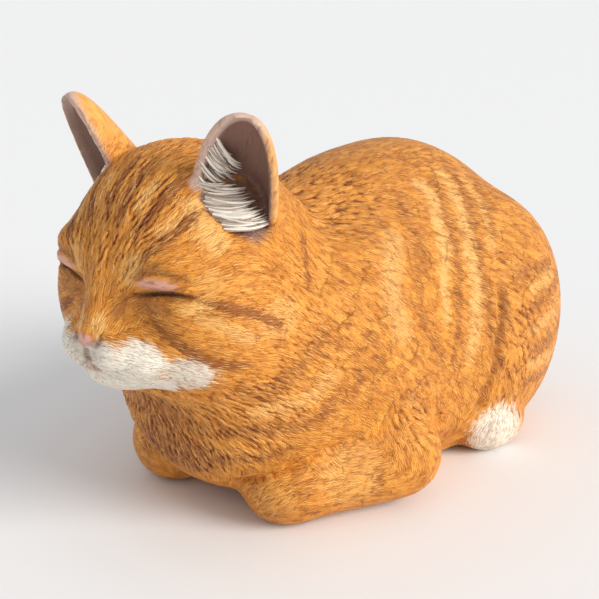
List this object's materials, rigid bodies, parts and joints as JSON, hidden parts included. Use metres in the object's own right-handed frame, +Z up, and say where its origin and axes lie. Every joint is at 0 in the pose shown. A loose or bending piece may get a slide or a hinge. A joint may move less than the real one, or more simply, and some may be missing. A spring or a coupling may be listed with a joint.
{
  "type": "cat figurine",
  "caption": "Sleeping cat figurine in painted ceramic, lying with its forepaws tucked under its chest, on a felt pad.",
  "frame": {"origin": "on the felt's underside, below the middle of the torso", "axes": "+Z up, -Y towards the nose, +X towards the cat's left side"},
  "size_m": [0.2163, 0.3328, 0.2101],
  "materials": {
    "painted_ceramic": "satin",
    "felt": "matte"
  },
  "bodies": {
    "root": {"torso_shell": "painted_ceramic", "head_shell": "painted_ceramic", "left_ear": "painted_ceramic", "right_ear": "painted_ceramic", "left_foreleg": "painted_ceramic", "right_foreleg": "painted_ceramic", "left_hind_paw": "painted_ceramic", "right_hind_paw": "painted_ceramic", "tail": "painted_ceramic", "felt_base": "felt"}
  },
  "joints": []
}
